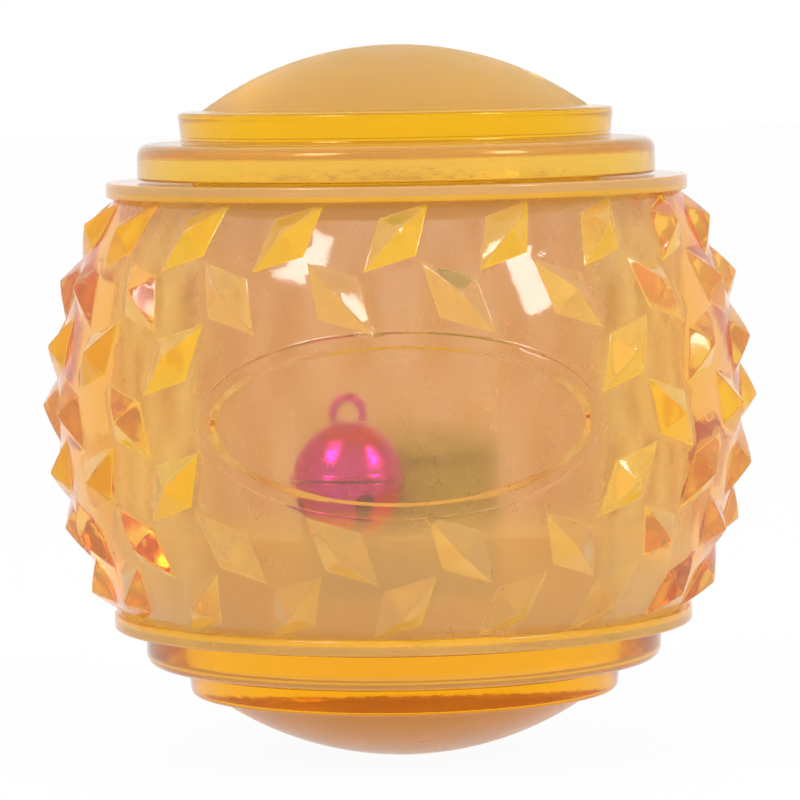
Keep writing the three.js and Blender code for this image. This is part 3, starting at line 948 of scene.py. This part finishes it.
def bell_half(sign):
    """One half of the bell's shell, with its share of the seam's rim."""
    inner = BELL_RADIUS - BELL_WALL
    from_inner = math.asin(SEAM_GAP / inner)
    from_outer = math.asin(SEAM_HEIGHT / BELL_RADIUS)
    rim = softened([
        (inner, SEAM_GAP, 0),
        (SEAM_REACH, SEAM_GAP, 0.08),
        (SEAM_REACH, SEAM_HEIGHT, 0.12),
        (BELL_RADIUS * math.cos(from_outer), SEAM_HEIGHT, 0),
    ])
    outline = arc(inner, 0, math.pi / 2, from_inner, BALL_STEPS)
    outline += rim[1:-1]
    outline += arc(BELL_RADIUS, 0, from_outer, math.pi / 2, BALL_STEPS)
    return [(abs(radius), sign * height) for radius, height in outline]


def slot_cutters(centre):
    """Two crossed slots with a round eye at each end."""
    reach = 3 * BELL_RADIUS
    lying = Matrix.Rotation(math.pi / 2, 4, "X")
    to_eye = Matrix.Translation((0, 0, -SLOT_DROP * MM))
    to_slot = Matrix.Translation((0, 0, (-SLOT_DROP - BELL_RADIUS / 2) * MM))
    slot_size = Matrix.Diagonal((SLOT_WIDTH * MM, reach * MM, BELL_RADIUS * MM, 1))
    cutters = []
    for quarter in (0, math.pi / 2):
        put = Matrix.Translation(place(*centre)) @ Matrix.Rotation(SLOT_BEARING + quarter, 4, "Z")
        eye = bmesh.new()
        bmesh.ops.create_cone(eye, cap_ends=True, segments=SMALL_SIDES, radius1=SLOT_EYE_RADIUS * MM,
                              radius2=SLOT_EYE_RADIUS * MM, depth=reach * MM, matrix=to_eye @ lying)
        bmesh.ops.transform(eye, verts=eye.verts, matrix=put)
        cutters.append(tool(eye, "eye"))
        slot = bmesh.new()
        bmesh.ops.create_cube(slot, size=1)
        bmesh.ops.transform(slot, verts=slot.verts, matrix=put @ to_slot @ slot_size)
        cutters.append(tool(slot, "slot"))
    return cutters


def make_bell():
    x, y, _ = axis_of("bell_crown")
    centre = (x, y, bounds_mm("bell_crown")[0] - SEAM_GAP)
    turned_piece("bell_top", bell_half(1), ROUND_SIDES, centre, "bell", "bell_crown",
                 bell_metal)
    bowl = turned_piece("bell_bottom", bell_half(-1), ROUND_SIDES, centre, "bell", "bell_bowl",
                        bell_metal)
    cut(bowl, slot_cutters(centre))

    low, high, _ = bounds_mm("bell_loop")
    bend = high - LOOP_WIRE / 2 - LOOP_RADIUS
    points = [(x - LOOP_RADIUS, y, low)]
    for step in range(LOOP_STEPS + 1):
        angle = math.pi * step / LOOP_STEPS
        points.append((x - LOOP_RADIUS * math.cos(angle), y, bend + LOOP_RADIUS * math.sin(angle)))
    points.append((x + LOOP_RADIUS, y, low))
    wire("bell_wire", points, LOOP_WIRE, "bell", "bell_loop", bell_metal)

    low, high, _ = bounds_mm("bell_pellet")
    side = arc((high - low) / 2, (low + high) / 2, -math.pi / 2, math.pi / 2, BALL_STEPS)
    ball = [(abs(radius), height) for radius, height in side]
    turned_piece("pellet_ball", ball, SMALL_SIDES, axis_of("bell_pellet"), "pellet", "bell_pellet",
                 steel)


# The stage: a white floor and surroundings, two soft boxes and the camera; lengths here are in metres

FLOOR_HALF_SIZE = 3.0
FLOOR_DROP = 0.0002
FLOOR_PAPER = (0.92, 0.92, 0.92, 1)
FLOOR_ROUGHNESS = 0.9
FLOOR_GLOW = 0.95
LIGHT_LEVEL = 0.65
SEEN_LEVEL = 1.0
LEFT_BOX = (-0.494, -0.576, 0.724)
RIGHT_BOX = (0.709, -0.520, 0.572)
BOX_SIZE = 0.27
BOX_POWER = 4.1
LIGHT_BOUNCES = 28


def make_floor():
    work = bmesh.new()
    bmesh.ops.create_grid(work, x_segments=1, y_segments=1, size=FLOOR_HALF_SIZE)
    mesh = bpy.data.meshes.new("floor")
    work.to_mesh(mesh)
    work.free()
    floor = bpy.data.objects.new("floor", mesh)
    floor.location = (0, 0, -FLOOR_DROP)
    bpy.context.scene.collection.objects.link(floor)
    made = Shader("floor_paper", Base_Color=FLOOR_PAPER, Roughness=FLOOR_ROUGHNESS)
    glow_where_seen(made, FLOOR_GLOW)
    mesh.materials.append(made.material)


def make_world():
    """White where it is seen, and a little dimmer as a light."""
    world = bpy.data.worlds.new("surroundings")
    bpy.context.scene.world = world
    world.use_nodes = True
    nodes = world.node_tree.nodes
    links = world.node_tree.links
    seen = seen_ray(nodes, links)
    level = nodes.new("ShaderNodeMapRange")
    level.inputs["To Min"].default_value = LIGHT_LEVEL
    level.inputs["To Max"].default_value = SEEN_LEVEL
    links.new(seen, level.inputs["Value"])
    background = nodes["Background"]
    background.inputs["Color"].default_value = (1, 1, 1, 1)
    links.new(level.outputs["Result"], background.inputs["Strength"])


def make_stage():
    make_floor()
    make_world()
    soft_box("left_box", LEFT_BOX, BOX_SIZE, BOX_POWER)
    soft_box("right_box", RIGHT_BOX, BOX_SIZE, BOX_POWER)


def seen_ray(nodes, links):
    """1 for rays from the camera, and for those that metal and glass send on."""
    path = nodes.new("ShaderNodeLightPath")
    first = nodes.new("ShaderNodeMath")
    first.operation = "MAXIMUM"
    second = nodes.new("ShaderNodeMath")
    second.operation = "MAXIMUM"
    links.new(path.outputs["Is Camera Ray"], first.inputs[0])
    links.new(path.outputs["Is Glossy Ray"], first.inputs[1])
    links.new(first.outputs[0], second.inputs[0])
    links.new(path.outputs["Is Transmission Ray"], second.inputs[1])
    return second.outputs[0]


def glow_where_seen(made, share):
    """Mixes a white glow into a floor for seen rays, and keeps some of its shadow."""
    glow = made.nodes.new("ShaderNodeEmission")
    glow.inputs["Strength"].default_value = 1.0
    mix = made.nodes.new("ShaderNodeMixShader")
    scale = made.nodes.new("ShaderNodeMath")
    scale.operation = "MULTIPLY"
    scale.inputs[1].default_value = share
    made.links.new(seen_ray(made.nodes, made.links), scale.inputs[0])
    made.links.new(scale.outputs[0], mix.inputs["Fac"])
    made.links.new(made.shader.outputs[0], mix.inputs[1])
    made.links.new(glow.outputs[0], mix.inputs[2])
    made.links.new(mix.outputs[0], made.output.inputs["Surface"])


def soft_box(name, spot, size, power):
    data = bpy.data.lights.new(name, "AREA")
    data.shape = "SQUARE"
    data.size = size
    data.energy = power
    lamp = bpy.data.objects.new(name, data)
    lamp.location = spot
    aim = place(0, 0, 0) - Vector(spot)
    lamp.rotation_euler = aim.to_track_quat("-Z", "Y").to_euler()
    bpy.context.scene.collection.objects.link(lamp)


CAMERA_ELEVATION = math.radians(4.3)
CAMERA_DISTANCE = 480.0  # millimetres
CAMERA_ROLL = math.radians(0.95)
SENSOR_WIDTH = 36
CLIP_START = 0.01
CLIP_END = 100
PHOTO_SIDE = 800
MM_PER_PIXEL = 0.0982
BALL_PIXEL = (400.0, 399.5)


def make_camera():
    data = bpy.data.cameras.new("camera")
    data.sensor_width = SENSOR_WIDTH
    data.lens = SENSOR_WIDTH * CAMERA_DISTANCE / (PHOTO_SIDE * MM_PER_PIXEL)
    data.shift_x = (PHOTO_SIDE / 2 - BALL_PIXEL[0]) / PHOTO_SIDE
    data.shift_y = (BALL_PIXEL[1] - PHOTO_SIDE / 2) / PHOTO_SIDE
    data.clip_start = CLIP_START
    data.clip_end = CLIP_END
    camera = bpy.data.objects.new("camera", data)
    back = CAMERA_DISTANCE * math.cos(CAMERA_ELEVATION)
    rise = CAMERA_DISTANCE * math.sin(CAMERA_ELEVATION)
    spot = place(0, -back, rise)
    aim = (place(0, 0, 0) - spot).to_track_quat("-Z", "Y").to_matrix().to_4x4()
    camera.matrix_world = Matrix.Translation(spot) @ aim @ Matrix.Rotation(-CAMERA_ROLL, 4, "Z")
    bpy.context.scene.collection.objects.link(camera)
    bpy.context.scene.camera = camera


make_camera()
make_belt()
make_caps()
make_module()
make_bell()
make_stage()

scene = bpy.context.scene
scene.view_settings.view_transform = "Standard"
scene.cycles.max_bounces = LIGHT_BOUNCES
scene.cycles.transmission_bounces = LIGHT_BOUNCES
scene.cycles.glossy_bounces = LIGHT_BOUNCES
